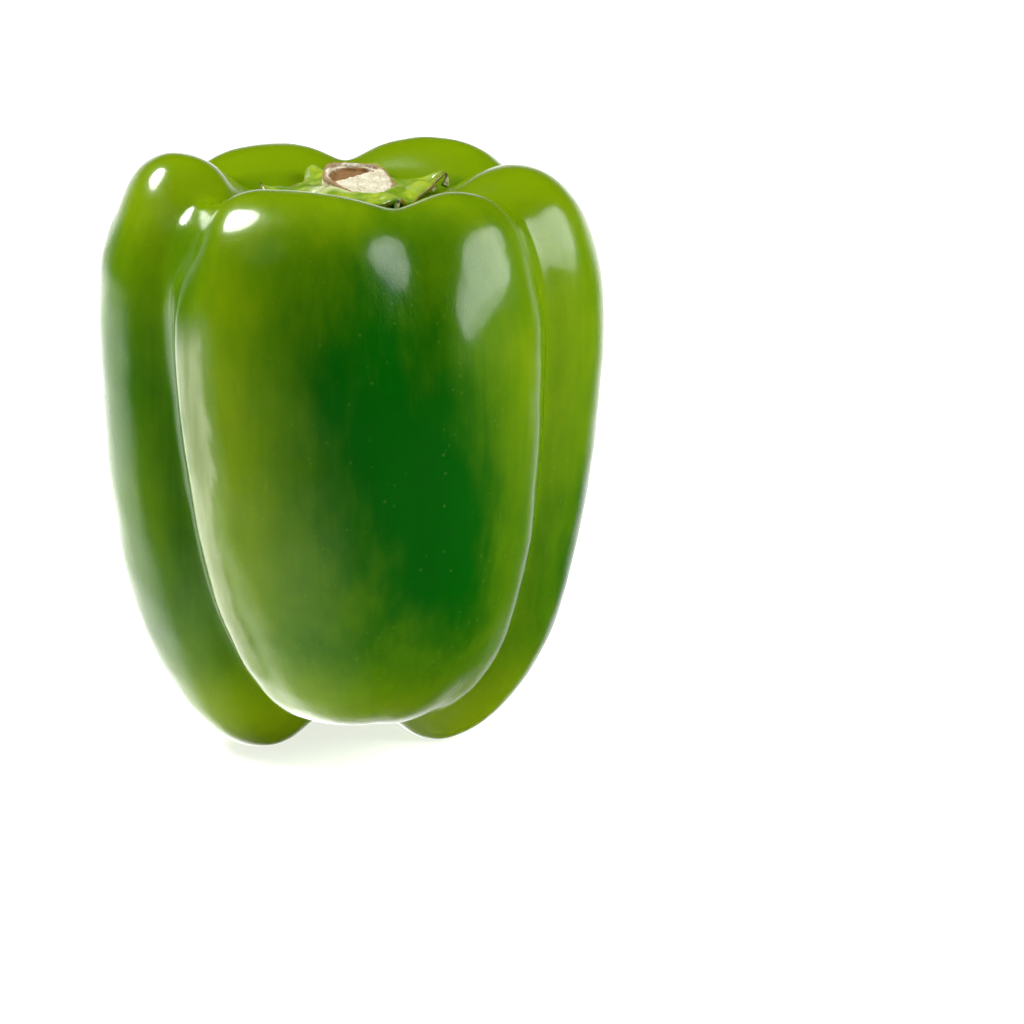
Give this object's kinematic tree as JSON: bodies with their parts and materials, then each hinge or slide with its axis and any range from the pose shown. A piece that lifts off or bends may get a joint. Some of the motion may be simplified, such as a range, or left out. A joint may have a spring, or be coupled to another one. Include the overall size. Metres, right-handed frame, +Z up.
{
  "type": "bell pepper",
  "caption": "Whole blocky bell pepper with swelling lobes, a star-shaped calyx in the hollow between its shoulders and a short cut stem; it stands upright on its own feet.",
  "frame": {"origin": "on the surface the pepper stands on, under the centre of its bounding box", "axes": "+Z up along the fruit's axis, from the blossom end to the stem; +X to the right and -Y to the front, where two lobes have almost merged"},
  "size_m": [0.089, 0.0826, 0.1053],
  "materials": {
    "skin": "gloss",
    "calyx": "satin",
    "stem": "matt"
  },
  "bodies": {
    "root": {"fruit": "skin", "calyx": "calyx", "stem": "stem"}
  },
  "joints": []
}
